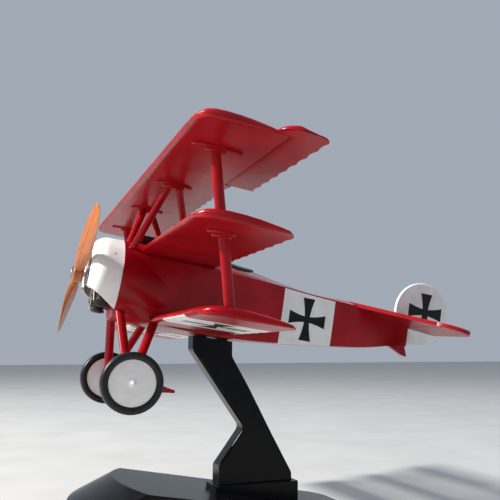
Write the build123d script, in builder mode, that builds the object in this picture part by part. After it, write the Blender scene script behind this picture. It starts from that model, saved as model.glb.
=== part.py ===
"""Three-winged fighter scale model, about 1:63, on a black display stand.

Row frame: +Z up, nose towards -Y, port wing towards +X, origin at the centre of the stand's underside.
The airframe is drawn in its own frame (x port, y aft, z up from the propeller axis) and then set nose-up
on the stand by AIRFRAME. Millimetres throughout.
"""
from build123d import *
from math import cos, radians, sin
import os

os.makedirs("parts", exist_ok=True)

# ---------------------------------------------------------------- driving dimensions
NOSE_UP = 8.3                  # airframe pitch on the stand, degrees
AIRFRAME_Y, AIRFRAME_Z = -26.5, 53.0

CHORD = 15.9                   # middle and lower wing
RIB_PITCH = 4.2
SCALLOP = 0.35
UPPER = dict(y=3.7, z=18.7, half=53.8, chord=15.1)
MIDDLE = dict(y=6.9, z=5.65, half=49.5, chord=CHORD)
LOWER = dict(y=11.0, z=-7.85, half=45.5, chord=CHORD)
AILERON_IN, AILERON_TIP, AILERON_CHORD = 21.6, 57.05, 19.3
HINGE_CHORD, HORN_CHORD = 13.7, 11.4
GROOVE = 0.25

COWL_R, COWL_FRONT, COWL_BACK, COWL_WALL = 8.25, -1.8, 3.9, 0.6
PROP_Y, PROP_ANGLE = -3.5, 58.0
PIN_R, RUNNING_GAP = 0.5, 0.06

WHEEL_X, WHEEL_Y, WHEEL_Z = 15.4, 7.9, -19.7
TYRE_R, RIM_R, TYRE_HALF_WIDTH = 5.65, 4.25, 1.1
AXLE_R = 0.6

STRUT_X = 40.4
STERN_Y = 73.3
SHELL = 0.9

BASE_HALF_WIDTH, BASE_HALF_LENGTH = 16.0, 30.5
BASE_NOSE_SAGITTA = 4.0
BASE_TOP_Z, BASE_TOP_SLOPE = 9.1, 0.191        # height at y = 0 and fall per mm towards the tail
BASE_GAP = 0.3                                 # the shell's rim stands this far above the table
SOCKET_TOP = 10.5
ARM_HALF = 2.3                                 # half the stand arm's thickness

AIRFRAME = Location((0, AIRFRAME_Y, AIRFRAME_Z), (-NOSE_UP, 0, 0))


def save(builder, label, at=None):
    """Labels a finished piece, moves it to its place in the row frame and writes its STEP."""
    piece = builder.part if at is None else builder.part.moved(at)
    piece.label = label
    export_step(piece, f"parts/{label}.step")


def save_pair(builder, name):
    """Writes the port piece as left_NAME and its mirror image as right_NAME."""
    save(builder, f"left_{name}", AIRFRAME)
    with BuildPart() as other:
        mirror(builder.part, about=Plane.YZ)
    save(other, f"right_{name}", AIRFRAME)


# ---------------------------------------------------------------- fuselage sections
# y, half-width and height of the lower corner, belly height, widest half-width, half-width and height of
# the upper corner, deck height
SECTIONS = [
    (3.9, 5.3, -6.3, -8.2, 8.2, 6.3, 5.3, 8.2),
    (9.0, 5.7, -7.3, -8.4, 6.9, 6.0, 5.3, 8.3),
    (15.0, 5.7, -8.0, -8.4, 6.15, 5.9, 5.3, 8.2),
    (22.0, 5.6, -8.3, -8.4, 5.85, 5.7, 5.2, 8.0),
    (30.0, 5.0, -8.2, -8.3, 5.3, 5.1, 5.1, 7.4),
    (39.0, 3.9, -7.6, -7.7, 4.0, 3.9, 4.8, 5.9),
    (52.0, 3.0, -6.3, -6.4, 3.15, 3.1, 4.1, 4.8),
    (64.0, 1.9, -4.7, -4.8, 2.05, 2.0, 3.4, 3.9),
    (STERN_Y, 0.6, -3.2, -3.3, 0.75, 0.7, 2.8, 3.1),
]


def fuselage_form(grow=0.0, first=0, last=len(SECTIONS)):
    """Lofts the fuselage outline, grown (or shrunk, if negative) on every side."""
    with BuildPart() as form:
        for y, wb, zb, belly, wide, wt, zt, deck in SECTIONS[first:last]:
            g = grow
            with BuildSketch(Plane.XZ.offset(-y)):
                with BuildLine():
                    low_l, low_r = (-wb - g, zb - g), (wb + g, zb - g)
                    up_l, up_r = (-wt - g, zt + g * 0.4), (wt + g, zt + g * 0.4)
                    side_z = (zb + zt) / 2
                    ThreePointArc(low_l, (0, belly - g), low_r)
                    ThreePointArc(low_r, (wide + g, side_z), up_r)
                    ThreePointArc(up_r, (0, deck + g), up_l)
                    ThreePointArc(up_l, (-wide - g, side_z), low_l)
                make_face()
        loft()
    return form.part


# ---------------------------------------------------------------- wings
def aerofoil(y0, z0, chord, thickness):
    """The wing section as a face: rounded nose, flat underside, thin trailing edge."""
    t = thickness
    with BuildSketch(Plane.XY) as section:
        with BuildLine():
            nose_low, tail_low = (y0 + 0.09 * chord, z0), (y0 + chord, z0)
            tail_up = (y0 + chord, z0 + 0.3)
            Line(nose_low, tail_low)
            Line(tail_low, tail_up)
            Spline(
                tail_up, (y0 + 0.62 * chord, z0 + 0.78 * t), (y0 + 0.3 * chord, z0 + t),
                (y0 + 0.06 * chord, z0 + 0.74 * t), (y0, z0 + 0.36 * t), nose_low,
                tangents=[(-1, 0.11), (1, -0.02)],
            )
        make_face()
    return section.sketch


def scalloped(points_from, points_to, y):
    """Arcs along a trailing edge between two spans, each drawn in by the pull of the covering."""
    count = max(1, round(abs(points_to - points_from) / RIB_PITCH))
    step = (points_to - points_from) / count
    for i in range(count):
        a, b = points_from + i * step, points_from + (i + 1) * step
        ThreePointArc((a, y), ((a + b) / 2, y - SCALLOP), (b, y))


def plain_planform(w):
    """Half of a middle or lower wing, seen from above, on the port side."""
    y, half, c = w["y"], w["half"], w["chord"]
    with BuildSketch(Plane.XY) as outline:
        with BuildLine():
            Line((0, y + c - SCALLOP), (0, y - 1))
            Line((0, y - 1), (half - 4.0, y - 1))
            Line((half - 4.0, y - 1), (half - 4.0, y))
            ThreePointArc((half - 4.0, y), (half - 1.9, y + 0.7), (half - 1.1, y + 2.6))
            ThreePointArc((half - 1.1, y + 2.6), (half - 0.2, y + 8.5), (half, y + c - 2.2))
            ThreePointArc((half, y + c - 2.2), (half - 0.5, y + c - 0.8), (half - 1.9, y + c))
            scalloped(half - 1.9, 2.1, y + c)
            Line((2.1, y + c), (2.1, y + c - SCALLOP))
            Line((2.1, y + c - SCALLOP), (0, y + c - SCALLOP))
        make_face()
    return outline.sketch


def plain_wing(w, thickness=2.1):
    """A one-piece wing: the section run across the span, cut to the planform."""
    with BuildPart() as section:
        with BuildSketch(Plane.YZ):
            add(aerofoil(w["y"], w["z"], w["chord"], thickness))
        extrude(amount=w["half"] + 1)
    with BuildPart() as wing:
        with BuildSketch(Plane.XY.offset(w["z"] - 1)):
            add(plain_planform(w))
        extrude(amount=5)
        add(section.part, mode=Mode.INTERSECT)
        mirror(about=Plane.YZ)
    return wing.part


Y_AILERON_TE = UPPER["y"] + AILERON_CHORD
Y_HINGE, Y_HORN = UPPER["y"] + HINGE_CHORD, UPPER["y"] + HORN_CHORD


def upper_wing_half():
    """Port half of the upper wing, stopped at the aileron's hinge line and horn."""
    y, z, half, c = UPPER["y"], UPPER["z"], UPPER["half"], UPPER["chord"]
    with BuildPart() as section:
        with BuildSketch(Plane.YZ):
            add(aerofoil(y, z, c, 2.0))
        extrude(amount=half + 1)
    with BuildPart() as wing:
        with BuildSketch(Plane.XY.offset(z - 1)):
            with BuildLine():
                Line((0, y + c - SCALLOP), (0, y - 1))
                Line((0, y - 1), (half - 4.5, y - 1))
                Line((half - 4.5, y - 1), (half - 4.5, y))
                ThreePointArc((half - 4.5, y), (half - 2.0, y + 0.8), (half - 1.1, y + 3.0))
                ThreePointArc((half - 1.1, y + 3.0), (half - 0.2, y + 7.4), (half, Y_HORN))
                Line((half, Y_HORN), (half, Y_HINGE))
                Line((half, Y_HINGE), (AILERON_IN, Y_HINGE))
                Line((AILERON_IN, Y_HINGE), (AILERON_IN, y + c))
                scalloped(AILERON_IN, 2.1, y + c)
                Line((2.1, y + c), (2.1, y + c - SCALLOP))
                Line((2.1, y + c - SCALLOP), (0, y + c - SCALLOP))
            make_face()
        extrude(amount=5)
        add(section.part, mode=Mode.INTERSECT)
    return wing.part


with BuildPart() as upper_wing:
    add(upper_wing_half())
    mirror(about=Plane.YZ)

with BuildPart() as aileron_section:
    with BuildSketch(Plane.YZ):
        with BuildLine():
            z = UPPER["z"]
            Polyline((Y_HORN - 1, z), (Y_AILERON_TE, z), (Y_AILERON_TE, z + 0.3), (Y_HINGE, z + 0.75),
                     (Y_HORN - 1, z + 1.1), close=True)
        make_face()
    extrude(amount=AILERON_TIP + 1)
with BuildPart() as aileron:
    with BuildSketch(Plane.XY.offset(UPPER["z"] - 1)):
        with BuildLine():
            gap, half, tip = GROOVE, UPPER["half"], AILERON_TIP
            Line((AILERON_IN + gap, Y_HINGE + gap), (half + gap, Y_HINGE + gap))
            Line((half + gap, Y_HINGE + gap), (half + gap, Y_HORN))
            ThreePointArc((half + gap, Y_HORN), (half + 2.1, Y_HORN + 0.5), (tip - 0.35, Y_HORN + 2.2))
            ThreePointArc((tip - 0.35, Y_HORN + 2.2), (tip, Y_HORN + 4.3), (tip - 0.35, Y_AILERON_TE - 1.6))
            ThreePointArc((tip - 0.35, Y_AILERON_TE - 1.6), (tip - 0.9, Y_AILERON_TE - 0.5),
                          (tip - 2.0, Y_AILERON_TE))
            scalloped(tip - 2.0, AILERON_IN + gap, Y_AILERON_TE)
            Line((AILERON_IN + gap, Y_AILERON_TE), (AILERON_IN + gap, Y_HINGE + gap))
        make_face()
    extrude(amount=5)
    add(aileron_section.part, mode=Mode.INTERSECT)
    # three hinge lugs bridge the gap to the wing
    for lug_x in (26.0, 38.0, 50.0):
        with Locations((lug_x, Y_HINGE + gap / 2, UPPER["z"] + 0.3)):
            Box(1.2, gap + 0.2, 0.3)
    with Locations((37.5, Y_HINGE - 1, UPPER["z"] + 0.3)):
        Box(32.4, 2.0, 1.0, mode=Mode.SUBTRACT)
save_pair(aileron, "aileron")

middle_wing_form = plain_wing(MIDDLE)
with BuildPart() as middle_wing:
    add(middle_wing_form)

# the lower wing narrows to a spar where it crosses the hull, which leaves the rear of the belly free
SPAR_REAR = 20.6
lower_wing_form = plain_wing(LOWER)
with BuildPart() as lower_wing:
    add(lower_wing_form)
    with Locations((0, SPAR_REAR + 5, LOWER["z"] + 1)):
        Box(10.4, 10, 5, mode=Mode.SUBTRACT)

save(upper_wing, "upper_wing", AIRFRAME)
save(middle_wing, "middle_wing", AIRFRAME)
save(lower_wing, "lower_wing", AIRFRAME)

# ---------------------------------------------------------------- tailplane, rudder, skid
TAIL_ROOT_Y, TAIL_ROOT_Z, TAIL_PITCH, TAIL_DROOP, TAIL_THICK = 56.0, 4.0, -10.0, 2.0, 0.9
TAIL_TIP_X, TAIL_TE = 20.4, 22.4

with BuildPart() as tail_half:
    with BuildSketch(Plane.XY):
        with BuildLine():
            Polyline((0, 0), (1.2, 0), (16.6, 15.0))
            ThreePointArc((16.6, 15.0), (19.6, 17.9), (TAIL_TIP_X, 20.4))
            ThreePointArc((TAIL_TIP_X, 20.4), (19.6, 21.9), (17.6, TAIL_TE))
            Polyline((17.6, TAIL_TE), (5.0, TAIL_TE), (1.3, 16.6), (0, 16.6), (0, 0))
        make_face()
    extrude(amount=TAIL_THICK)
    with Locations((9.6, 15.6, TAIL_THICK), (9.6, 15.6, 0)):
        Box(17.0, GROOVE, 0.3, mode=Mode.SUBTRACT)

with BuildPart() as tailplane:
    add(tail_half.part.moved(Location((0, 0, 0), (0, TAIL_DROOP, 0))))
    with Locations((0, 4.0, 0)):
        Box(3.0, 8.0, 4.0, mode=Mode.SUBTRACT)          # its two halves stand against the hull's shoulders
    mirror(about=Plane.YZ)
tail_seat = Location((0, TAIL_ROOT_Y, TAIL_ROOT_Z), (TAIL_PITCH, 0, 0))
tailplane_placed = tailplane.part.moved(tail_seat)

RUDDER_Y, RUDDER_Z, RUDDER_R, RUDDER_THICK = 77.0, 5.4, 7.5, 0.9
FIN_FOOT = 4.3                      # underside of the part of the rudder that reaches ahead of the stern
with BuildPart() as rudder:
    with BuildSketch(Plane.YZ.offset(-RUDDER_THICK / 2)):
        with Locations((RUDDER_Y, RUDDER_Z)):
            Circle(RUDDER_R)
        with BuildLine():
            Polyline((STERN_Y + 0.15, FIN_FOOT), (STERN_Y + 0.15, -2.7), (STERN_Y + 4.6, -2.2), (82.5, 0.5),
                     (STERN_Y + 0.15, FIN_FOOT))
        make_face()
        with Locations((STERN_Y + 0.15 - 5, FIN_FOOT - 10)):
            Rectangle(10, 20, mode=Mode.SUBTRACT)
    extrude(amount=RUDDER_THICK)
    fillet(rudder.edges().filter_by(GeomType.CIRCLE).group_by(SortBy.LENGTH)[-1], 0.35)
save(rudder, "rudder", AIRFRAME)

# ---------------------------------------------------------------- fuselage, decking, belly pan
DECK_SPLIT_Z, DECK_END = 4.6, 33.5
PAN_START, PAN_END, PAN_TOP = 20.8, 34.0, -7.2
PRONG_Y, PRONG_LONG, PRONG_WIDE = (23.2, 27.8), 2.2, 2.0      # in the airframe's frame
PAN_SCREW_Y, PAN_BOSS_R = 31.6, 1.5
COCKPIT = dict(y=28.1, long=3.9, wide=3.1)
hull = fuselage_form()
hollow = fuselage_form(-SHELL, 1, len(SECTIONS) - 1)


with BuildPart() as tailplane_cut:
    add(tailplane_placed)
    add(hull, mode=Mode.SUBTRACT)
with BuildPart() as tailplane_set:
    add(tailplane_cut.solids().sort_by(SortBy.VOLUME)[-2:])          # the two halves, without offcuts
save(tailplane_set, "tailplane", AIRFRAME)


def region(y0, y1, z0, z1, half=12.0):
    """A plain block used to part the hull into its pieces."""
    centre = Location((0, (y0 + y1) / 2, (z0 + z1) / 2))
    return Solid.make_box(2 * half, y1 - y0, z1 - z0).moved(
        centre * Location((-half, -(y1 - y0) / 2, -(z1 - z0) / 2))
    )


def cockpit_hole(grow=0.0):
    """Elliptical prism down through the decking."""
    with BuildPart(mode=Mode.PRIVATE) as hole:
        with BuildSketch(Plane.XY.offset(3.0)):
            with Locations((0, COCKPIT["y"])):
                Ellipse(COCKPIT["wide"] + grow, COCKPIT["long"] + grow)
        extrude(amount=8)
    return hole.part


with BuildPart() as fuselage_body:
    add(hull)
    add(hollow, mode=Mode.SUBTRACT)
    add(region(0, DECK_END, DECK_SPLIT_Z, 12), mode=Mode.SUBTRACT)
    add(region(PAN_START, PAN_END, -12, PAN_TOP), mode=Mode.SUBTRACT)
    add(lower_wing.part, mode=Mode.SUBTRACT)
save(fuselage_body, "fuselage_body", AIRFRAME)

with BuildPart() as front_decking:
    add(hull)
    add(region(0, DECK_END, DECK_SPLIT_Z, 12), mode=Mode.INTERSECT)
    add(fuselage_form(-SHELL * 1.6, 3, 6), mode=Mode.SUBTRACT)
    add(middle_wing_form, mode=Mode.SUBTRACT)
    add(cockpit_hole(), mode=Mode.SUBTRACT)
save(front_decking, "front_decking", AIRFRAME)

with BuildPart() as belly_pan:
    add(hull)
    add(region(PAN_START, PAN_END, -12, PAN_TOP), mode=Mode.INTERSECT)
    add(lower_wing.part, mode=Mode.SUBTRACT)
    for prong_y in PRONG_Y:
        with Locations((0, prong_y, PAN_TOP)):
            Box(PRONG_WIDE + 0.3, PRONG_LONG + 0.3, 6, mode=Mode.SUBTRACT)
    with Locations((0, PAN_SCREW_Y, PAN_TOP)):
        Cylinder(0.7, 6, mode=Mode.SUBTRACT)
    with Locations((0, PAN_SCREW_Y, -7.75)):
        Cylinder(1.3, 2, align=(Align.CENTER, Align.CENTER, Align.MAX), mode=Mode.SUBTRACT)
save(belly_pan, "belly_pan", AIRFRAME)

with BuildPart() as belly_screw:
    with Locations((0, PAN_SCREW_Y, -7.75)):
        Cylinder(1.2, 0.4, align=(Align.CENTER, Align.CENTER, Align.MAX))
        Cylinder(0.6, 2.8, align=(Align.CENTER, Align.CENTER, Align.MIN))
    with Locations((0, PAN_SCREW_Y, -8.15)):
        Box(1.5, 0.3, 0.4, mode=Mode.SUBTRACT)
        Box(0.3, 1.5, 0.4, mode=Mode.SUBTRACT)
save(belly_screw, "belly_screw", AIRFRAME)

# ---------------------------------------------------------------- cockpit
with BuildPart() as cockpit_coaming:
    add(fuselage_form(0.45, 2, 7))
    add(hull, mode=Mode.SUBTRACT)
    add(cockpit_hole(0.55), mode=Mode.INTERSECT)
    add(cockpit_hole(-0.45), mode=Mode.SUBTRACT)
save(cockpit_coaming, "cockpit_coaming", AIRFRAME)

TUB_FLOOR = -1.0
with BuildPart() as cockpit_tub:
    with Locations((0, PAN_SCREW_Y - 0.2, TUB_FLOOR)):
        Cylinder(PAN_BOSS_R, TUB_FLOOR - PAN_TOP, align=(Align.CENTER, Align.CENTER, Align.MAX))
    with Locations((0, PAN_SCREW_Y, PAN_TOP)):
        Cylinder(0.65, 4, align=(Align.CENTER, Align.CENTER, Align.MIN), mode=Mode.SUBTRACT)
    with Locations((0, COCKPIT["y"], TUB_FLOOR)):
        Box(6.4, 8.2, 5.6, align=(Align.CENTER, Align.CENTER, Align.MIN))
        with Locations((0, 0, 0.6)):
            Box(5.4, 7.2, 6, align=(Align.CENTER, Align.CENTER, Align.MIN), mode=Mode.SUBTRACT)
save(cockpit_tub, "cockpit_tub", AIRFRAME)

with BuildPart() as pilot_seat:
    with BuildSketch(Plane.YZ.offset(-1.9)):
        with BuildLine():
            Polyline((25.4, 0.0), (30.9, 0.0), (31.2, 4.4), (30.4, 4.4), (29.9, 1.5), (25.4, 1.5), close=True)
        make_face()
    extrude(amount=3.8)
    fillet(pilot_seat.edges().filter_by(Axis.X).sort_by(Axis.Z)[-2:], 0.3)
save(pilot_seat, "pilot_seat", AIRFRAME)

# ---------------------------------------------------------------- guns
GUN_X, GUN_Z, GUN_REAR = 1.75, 9.35, 17.6
with BuildPart() as gun:
    with Locations((GUN_X, 15.0, GUN_Z - 0.1)):
        Box(1.2, 5.2, 1.5)
    fillet(gun.edges().filter_by(Axis.Y), 0.25)
    with BuildSketch(Plane.XZ.offset(-7.6)):
        with Locations((GUN_X, GUN_Z)):
            Circle(0.62)
    extrude(amount=-5.0)
    with BuildSketch(Plane.XZ.offset(-6.7)):
        with Locations((GUN_X, GUN_Z)):
            Circle(0.4)
    extrude(amount=-1.0)
    with Locations((GUN_X, GUN_REAR + 0.5, GUN_Z)):
        Box(0.8, 1.0, 0.9)
    with Locations((GUN_X, 10.4, GUN_Z - 0.5)):
        Box(0.5, 1.0, 1.6)
    with Locations((GUN_X, 15.6, GUN_Z - 0.9)):
        Box(0.5, 1.6, 1.2)
    add(hull, mode=Mode.SUBTRACT)
    add(middle_wing_form, mode=Mode.SUBTRACT)
save_pair(gun, "gun")


# ---------------------------------------------------------------- struts
def leg(top, foot, chord, thick):
    """A streamlined strut between two points, with level ends."""
    with BuildPart(mode=Mode.PRIVATE) as strut:
        for x, y, z in (top, foot):
            with BuildSketch(Plane.XY.offset(z)):
                with Locations((x, y)):
                    Ellipse(thick / 2, chord / 2)
        loft()
    return strut.part


def pad(x, y, z, long, wide, deep):
    """An oval foot moulded under a wing, with its lower rim eased."""
    with BuildPart(mode=Mode.PRIVATE) as foot:
        with BuildSketch(Plane.XY.offset(z)):
            with Locations((x, y)):
                Ellipse(wide / 2, long / 2)
        extrude(amount=-deep)
        chamfer(foot.faces().sort_by(Axis.Z)[0].edges(), deep * 0.45)
    return foot.part


UPPER_UNDER, MIDDLE_UNDER = UPPER["z"], MIDDLE["z"]
with BuildPart() as interplane_upper:
    add(leg((STRUT_X, 9.9, UPPER_UNDER), (STRUT_X, 13.1, MIDDLE["z"] + 0.6), 1.8, 1.3))
    add(pad(STRUT_X, 10.4, UPPER_UNDER, 8.4, 3.0, 0.35))
    add(pad(STRUT_X, 10.2, UPPER_UNDER - 0.35, 3.4, 2.0, 0.4))
    add(middle_wing_form, mode=Mode.SUBTRACT)
save_pair(interplane_upper, "upper_interplane_strut")

with BuildPart() as interplane_lower:
    add(leg((STRUT_X, 13.4, MIDDLE_UNDER), (STRUT_X, 16.6, LOWER["z"] + 0.6), 1.8, 1.3))
    add(pad(STRUT_X, 13.1, MIDDLE_UNDER, 4.8, 2.8, 0.45))
    add(pad(STRUT_X, 13.2, MIDDLE_UNDER - 0.45, 3.4, 2.1, 0.55))
    add(lower_wing_form, mode=Mode.SUBTRACT)
save_pair(interplane_lower, "lower_interplane_strut")

CABANE_TOP = (13.0, 9.8)
with BuildPart() as cabane:
    add(leg((12.4, 9.2, UPPER_UNDER), (5.0, 5.4, 6.2), 1.5, 1.1))
    add(leg((13.2, 10.7, UPPER_UNDER), (8.6, 15.8, MIDDLE["z"] + 0.8), 1.5, 1.1))
    add(pad(*CABANE_TOP, UPPER_UNDER, 7.2, 3.4, 0.35))
    add(pad(*CABANE_TOP, UPPER_UNDER - 0.35, 4.2, 2.4, 0.5))
    add(hull, mode=Mode.SUBTRACT)
    add(middle_wing_form, mode=Mode.SUBTRACT)
save_pair(cabane, "cabane_strut")

# ---------------------------------------------------------------- undercarriage
VEE_X = 12.7
with BuildPart() as gear_vee:
    add(leg((4.9, 4.9, -5.6), (VEE_X, 7.6, WHEEL_Z + 0.6), 1.8, 1.2))
    add(leg((4.9, 12.3, -6.6), (VEE_X, 8.2, WHEEL_Z + 0.6), 1.8, 1.2))
    with BuildSketch(Plane.YZ.offset(VEE_X - 0.6)):
        with Locations((WHEEL_Y, WHEEL_Z)):
            Circle(1.35)
    extrude(amount=1.2)
    with BuildSketch(Plane.YZ.offset(VEE_X - 1)):
        with Locations((WHEEL_Y, WHEEL_Z)):
            Circle(AXLE_R)
    extrude(amount=2, mode=Mode.SUBTRACT)
    add(hull, mode=Mode.SUBTRACT)
    add(lower_wing_form, mode=Mode.SUBTRACT)
save_pair(gear_vee, "gear_vee")

FAIRING_Y0, FAIRING_Y1, FAIRING_HALF = 5.9, 16.8, VEE_X - 0.9
with BuildPart() as axle_fairing:
    with BuildSketch(Plane.YZ.offset(-FAIRING_HALF)):
        with BuildLine():
            tail_up, tail_low = (FAIRING_Y1, WHEEL_Z - 0.35), (FAIRING_Y1, WHEEL_Z - 0.95)
            Line(tail_low, tail_up)
            Spline(
                tail_up, (WHEEL_Y + 4, WHEEL_Z + 1.0), (WHEEL_Y, WHEEL_Z + 1.25), (FAIRING_Y0, WHEEL_Z - 0.1),
                (WHEEL_Y, WHEEL_Z - 1.25), (WHEEL_Y + 4, WHEEL_Z - 1.45), tail_low,
            )
        make_face()
    extrude(amount=2 * FAIRING_HALF)
    with BuildSketch(Plane.YZ.offset(-FAIRING_HALF - 1)):
        with Locations((WHEEL_Y, WHEEL_Z)):
            Circle(AXLE_R)
    extrude(amount=2 * FAIRING_HALF + 2, mode=Mode.SUBTRACT)
save(axle_fairing, "axle_fairing", AIRFRAME)

AXLE_END = WHEEL_X + 0.5
with BuildPart() as axle_rod:
    with BuildSketch(Plane.YZ.offset(-AXLE_END)):
        with Locations((WHEEL_Y, WHEEL_Z)):
            Circle(AXLE_R)
    extrude(amount=2 * AXLE_END)
    chamfer(axle_rod.edges(), 0.15)
save(axle_rod, "axle_rod", AIRFRAME)


# ---------------------------------------------------------------- wheels
wheel_at = Location((WHEEL_X, WHEEL_Y, WHEEL_Z))
with BuildPart() as tyre_form:
    with BuildSketch(Plane.XY):
        with Locations((0, (TYRE_R + RIM_R) / 2)):
            RectangleRounded(2 * TYRE_HALF_WIDTH, TYRE_R - RIM_R, 0.6)
    revolve(axis=Axis.X)
with BuildPart() as tyre:
    add(tyre_form.part.moved(wheel_at))
save_pair(tyre, "tyre")

BORE_R = AXLE_R + RUNNING_GAP
with BuildPart() as disc_form:
    with BuildSketch(Plane.XY):
        with BuildLine():
            Polyline((-1.9, BORE_R), (-1.9, 1.1), (-1.15, 1.3), (-0.7, RIM_R), (0.75, RIM_R), (1.25, 0.75),
                     (1.45, 0.35), (1.45, 0), (0.6, 0), (0.6, BORE_R), close=True)
        make_face()
    revolve(axis=Axis.X)
with BuildPart() as wheel_disc:
    add(disc_form.part.moved(wheel_at))
save_pair(wheel_disc, "wheel_disc")

# ---------------------------------------------------------------- cowling
LIP = 3.0
FRONT_OPENING = 4.8
CUT_FRONT_Z, CUT_BACK_Z = -1.9, -6.1
with BuildPart() as cowling:
    with BuildSketch(Plane.YZ):
        with BuildLine():
            r, w = COWL_R, COWL_WALL
            Line((COWL_BACK, r), (COWL_FRONT + LIP, r - 0.15))
            ThreePointArc((COWL_FRONT + LIP, r - 0.15), (COWL_FRONT + 0.88, r - 1.0), (COWL_FRONT, r - LIP))
            Polyline((COWL_FRONT, r - LIP), (COWL_FRONT, FRONT_OPENING), (COWL_FRONT + w, FRONT_OPENING),
                     (COWL_FRONT + w, r - LIP))
            ThreePointArc((COWL_FRONT + w, r - LIP), (COWL_FRONT + w + 0.7, r - w - 0.84),
                          (COWL_FRONT + LIP, r - w - 0.15))
            Polyline((COWL_FRONT + LIP, r - w - 0.15), (COWL_BACK, r - w), (COWL_BACK, r))
        make_face()
    revolve(axis=Axis.Y)
    # the lower third is cut away on a slant, which leaves a horseshoe
    with BuildSketch(Plane.YZ.offset(-12)):
        with BuildLine():
            Polyline((COWL_FRONT - 1, CUT_FRONT_Z), (COWL_BACK + 1, CUT_BACK_Z), (COWL_BACK + 1, -12),
                     (COWL_FRONT - 1, -12), close=True)
        make_face()
    extrude(amount=24, mode=Mode.SUBTRACT)
    with BuildSketch(Plane.XZ.offset(-COWL_FRONT + 1)):
        with Locations((5.9, 2.2), (-5.9, 2.2)):
            Circle(0.95)
    extrude(amount=-3, mode=Mode.SUBTRACT)
save(cowling, "cowling", AIRFRAME)

# ---------------------------------------------------------------- engine
CRANK_R, CYL_INNER, CYL_OUTER, CYL_R, CYL_Y, CYLINDERS = 2.9, 2.6, 7.15, 1.3, 1.5, 9
with BuildPart() as crankcase:
    with BuildSketch(Plane.XZ.offset(1.9)):
        Circle(CRANK_R * 0.7)
    extrude(amount=-2.1)
    with BuildSketch(Plane.XZ.offset(-0.2)):
        Circle(CRANK_R)
    extrude(amount=-(COWL_BACK - 0.2))
    chamfer(crankcase.edges().filter_by(GeomType.CIRCLE).sort_by(Axis.Y)[1:3], 0.25)
    with BuildSketch(Plane.XZ.offset(3.0)):
        Circle(PIN_R)
    extrude(amount=-6, mode=Mode.SUBTRACT)

FINS, FIN_PITCH = 6, 0.5
with BuildPart() as one_cylinder:
    with BuildSketch(Plane.XY):
        with BuildLine():
            points = [(0, CYL_INNER), (CYL_R * 0.75, CYL_INNER)]
            for i in range(FINS):
                z = CYL_INNER + 0.9 + i * FIN_PITCH
                points += [(CYL_R * 0.75, z), (CYL_R, z), (CYL_R, z + 0.25), (CYL_R * 0.75, z + 0.25)]
            points += [(CYL_R * 0.75, CYL_OUTER - 0.7), (CYL_R, CYL_OUTER - 0.7), (CYL_R, CYL_OUTER - 0.2),
                       (CYL_R * 0.6, CYL_OUTER), (0, CYL_OUTER), (0, CYL_INNER)]
            Polyline(*points)
        make_face()
    revolve(axis=Axis.Y)
cylinder_stand = one_cylinder.part.moved(Location((0, 0, 0), (90, 0, 0)))

with BuildPart() as cylinders:
    for i in range(CYLINDERS):
        spoke = Location((0, CYL_Y, 0), (0, 180 + i * 360 / CYLINDERS, 0))
        add(cylinder_stand.moved(spoke))
    add(crankcase.part, mode=Mode.SUBTRACT)
save(crankcase, "engine_crankcase", AIRFRAME)
save(cylinders, "engine_cylinders", AIRFRAME)

ROD_R = 0.16
with BuildPart() as pushrods:
    for i in range(CYLINDERS):
        spoke = Location((0, CYL_Y - CYL_R - ROD_R - 0.05, 0), (0, 180 + i * 360 / CYLINDERS, 0))
        add(Solid.make_cylinder(ROD_R, CYL_OUTER - 0.5 - CRANK_R * 0.75).moved(
            spoke * Location((0, 0, CRANK_R * 0.75))))
save(pushrods, "engine_pushrods", AIRFRAME)

# ---------------------------------------------------------------- propeller
# radius, chord, thickness and pitch of each blade station
STATIONS = [(0.8, 1.9, 1.5, 58), (3.0, 2.2, 1.3, 52), (5.5, 3.2, 1.1, 42), (8.5, 3.9, 0.9, 34),
            (11.5, 4.25, 0.75, 28), (14.5, 4.2, 0.62, 24), (17.0, 3.8, 0.5, 21), (18.8, 3.1, 0.42, 19),
            (19.7, 2.0, 0.34, 18), (20.0, 0.9, 0.26, 18)]
LENS = ((1.0, 0.0), (0.72, 0.62), (0.2, 1.0), (-0.45, 0.88), (-1.0, 0.0), (-0.45, -0.88), (0.2, -1.0),
        (0.72, -0.62))                          # the blade section, as shares of half-chord and half-thickness


def blade():
    """One blade along +Z, ruled from station to station."""
    with BuildPart(mode=Mode.PRIVATE) as form:
        for r, c, t, pitch in STATIONS:
            p = radians(pitch)
            with BuildSketch(Plane(origin=(0, 0, r), x_dir=(cos(p), sin(p), 0), z_dir=(0, 0, 1))):
                with BuildLine():
                    Polyline(*[(c / 2 * u, t / 2 * v) for u, v in LENS], close=True)
                make_face()
        loft(ruled=True)
    return form.part


HUB_R, HUB_HALF = 1.75, 0.95
with BuildPart() as propeller_form:
    with BuildSketch(Plane.XZ.offset(-HUB_HALF)):
        Circle(HUB_R)
    extrude(amount=2 * HUB_HALF)
    fillet(propeller_form.edges(), 0.3)
    add(blade())
    add(blade().moved(Location((0, 0, 0), (0, 180, 0))))
    with BuildSketch(Plane.XZ.offset(-3)):
        Circle(PIN_R + RUNNING_GAP)
    extrude(amount=6, mode=Mode.SUBTRACT)
with BuildPart() as propeller:
    add(propeller_form.part.moved(Location((0, PROP_Y, 0), (0, PROP_ANGLE, 0))))
save(propeller, "propeller", AIRFRAME)

with BuildPart() as hub_plate:
    with BuildSketch(Plane.XZ.offset(-PROP_Y + HUB_HALF)):
        Circle(1.35)
        Circle(PIN_R + RUNNING_GAP, mode=Mode.SUBTRACT)
    extrude(amount=0.15)
    with BuildSketch(Plane.XZ.offset(-PROP_Y + HUB_HALF + 0.15)):
        with PolarLocations(0.98, 6):
            RegularPolygon(0.2, 6)
    extrude(amount=0.12)
save(hub_plate, "propeller_hub_plate", AIRFRAME)

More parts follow.
